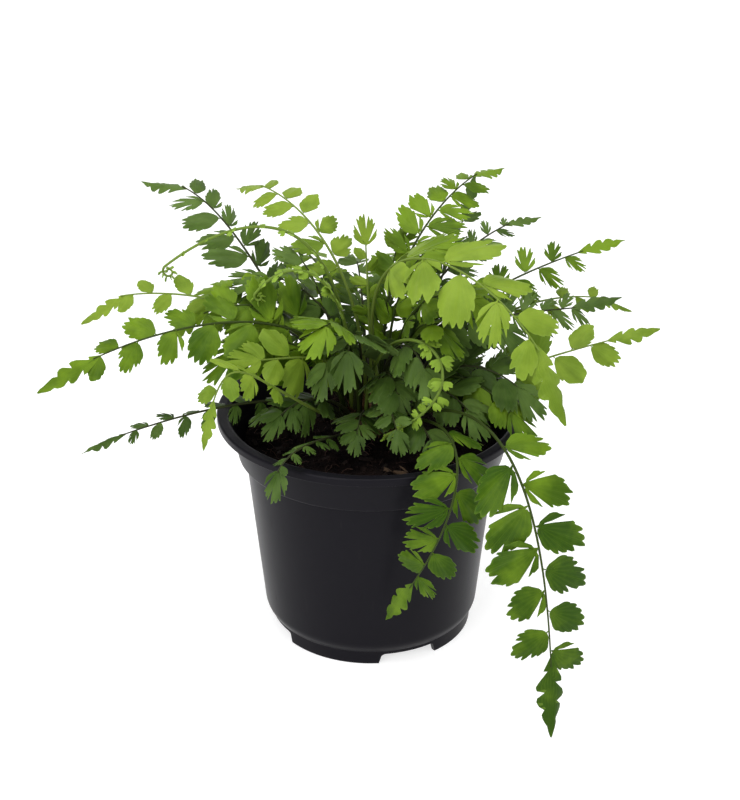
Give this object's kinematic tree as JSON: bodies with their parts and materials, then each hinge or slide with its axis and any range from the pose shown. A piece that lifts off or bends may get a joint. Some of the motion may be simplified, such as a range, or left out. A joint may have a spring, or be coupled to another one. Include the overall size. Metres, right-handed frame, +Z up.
{
  "type": "potted fern",
  "caption": "Small fern with arching once-divided fronds of fan-shaped leaflets, growing from a crown in a round black nursery pot with a turned brim and a notched foot.",
  "frame": {"origin": "centre of the pot's underside, on the surface the pot stands on", "axes": "+Z up along the pot's axis, -Y towards the front, +X to the right seen from the front"},
  "size_m": [0.2735, 0.2459, 0.1959],
  "materials": {
    "nursery_plastic": "satin",
    "potting_mix": "matte",
    "crown": "matte",
    "withered_leaf": "matte",
    "leaf_mature": "satin",
    "leaf_dark": "satin",
    "leaf_young": "satin",
    "leaf_unfurling": "satin"
  },
  "bodies": {
    "root": {"pot": "nursery_plastic", "potting_mix": "potting_mix", "crown": "crown", "withered_leaflet": "withered_leaf", "frond_front_right_hanging": "leaf_mature", "frond_front_hanging": "leaf_mature", "frond_centre_bright": "leaf_young", "frond_left_low": "leaf_mature", "frond_left_long": "leaf_young", "frond_left_flat": "leaf_dark", "frond_upper_left": "leaf_dark", "frond_left_crozier": "leaf_unfurling", "frond_upper_mid_left": "leaf_young", "frond_front_left_young": "leaf_young", "frond_front_left_short": "leaf_young", "frond_back_right_tall": "leaf_mature", "frond_back_right_upright": "leaf_dark", "frond_right_thin": "leaf_dark", "frond_right_grey": "leaf_mature", "frond_right_dark": "leaf_dark", "frond_right_back_young": "leaf_young", "frond_right_light": "leaf_young", "frond_right_short": "leaf_dark", "frond_right_front_broad": "leaf_dark", "frond_centre_crozier": "leaf_unfurling", "frond_front_small": "leaf_dark", "frond_left_short": "leaf_dark", "frond_centre_left_young": "leaf_unfurling", "frond_centre_broad": "leaf_dark", "frond_front_low": "leaf_dark", "frond_front_right_low": "leaf_dark", "frond_top_young": "leaf_young", "frond_back_arching": "leaf_mature", "frond_back_long": "leaf_dark", "frond_back_left_arching": "leaf_mature", "frond_back_left_low": "leaf_dark", "frond_left_back_short": "leaf_mature", "frond_back_right_low": "leaf_mature", "frond_front_right_broad": "leaf_dark", "frond_centre_right_dark": "leaf_mature", "frond_centre_upright": "leaf_mature", "frond_centre_left_dark": "leaf_dark", "frond_left_middle": "leaf_mature", "frond_front_left_inner": "leaf_dark", "frond_front_inner": "leaf_dark", "frond_left_broad": "leaf_mature", "frond_left_inner_low": "leaf_dark", "frond_centre_left_broad": "leaf_mature", "frond_centre_front_broad": "leaf_mature", "frond_front_right_dense": "leaf_dark", "frond_front_right_outer": "leaf_mature", "frond_right_low": "leaf_dark", "frond_right_inner": "leaf_mature", "frond_centre_high_right": "leaf_mature", "frond_back_inner": "leaf_dark", "frond_centre_high_left": "leaf_dark", "frond_front_centre_low": "leaf_dark"}
  },
  "joints": []
}
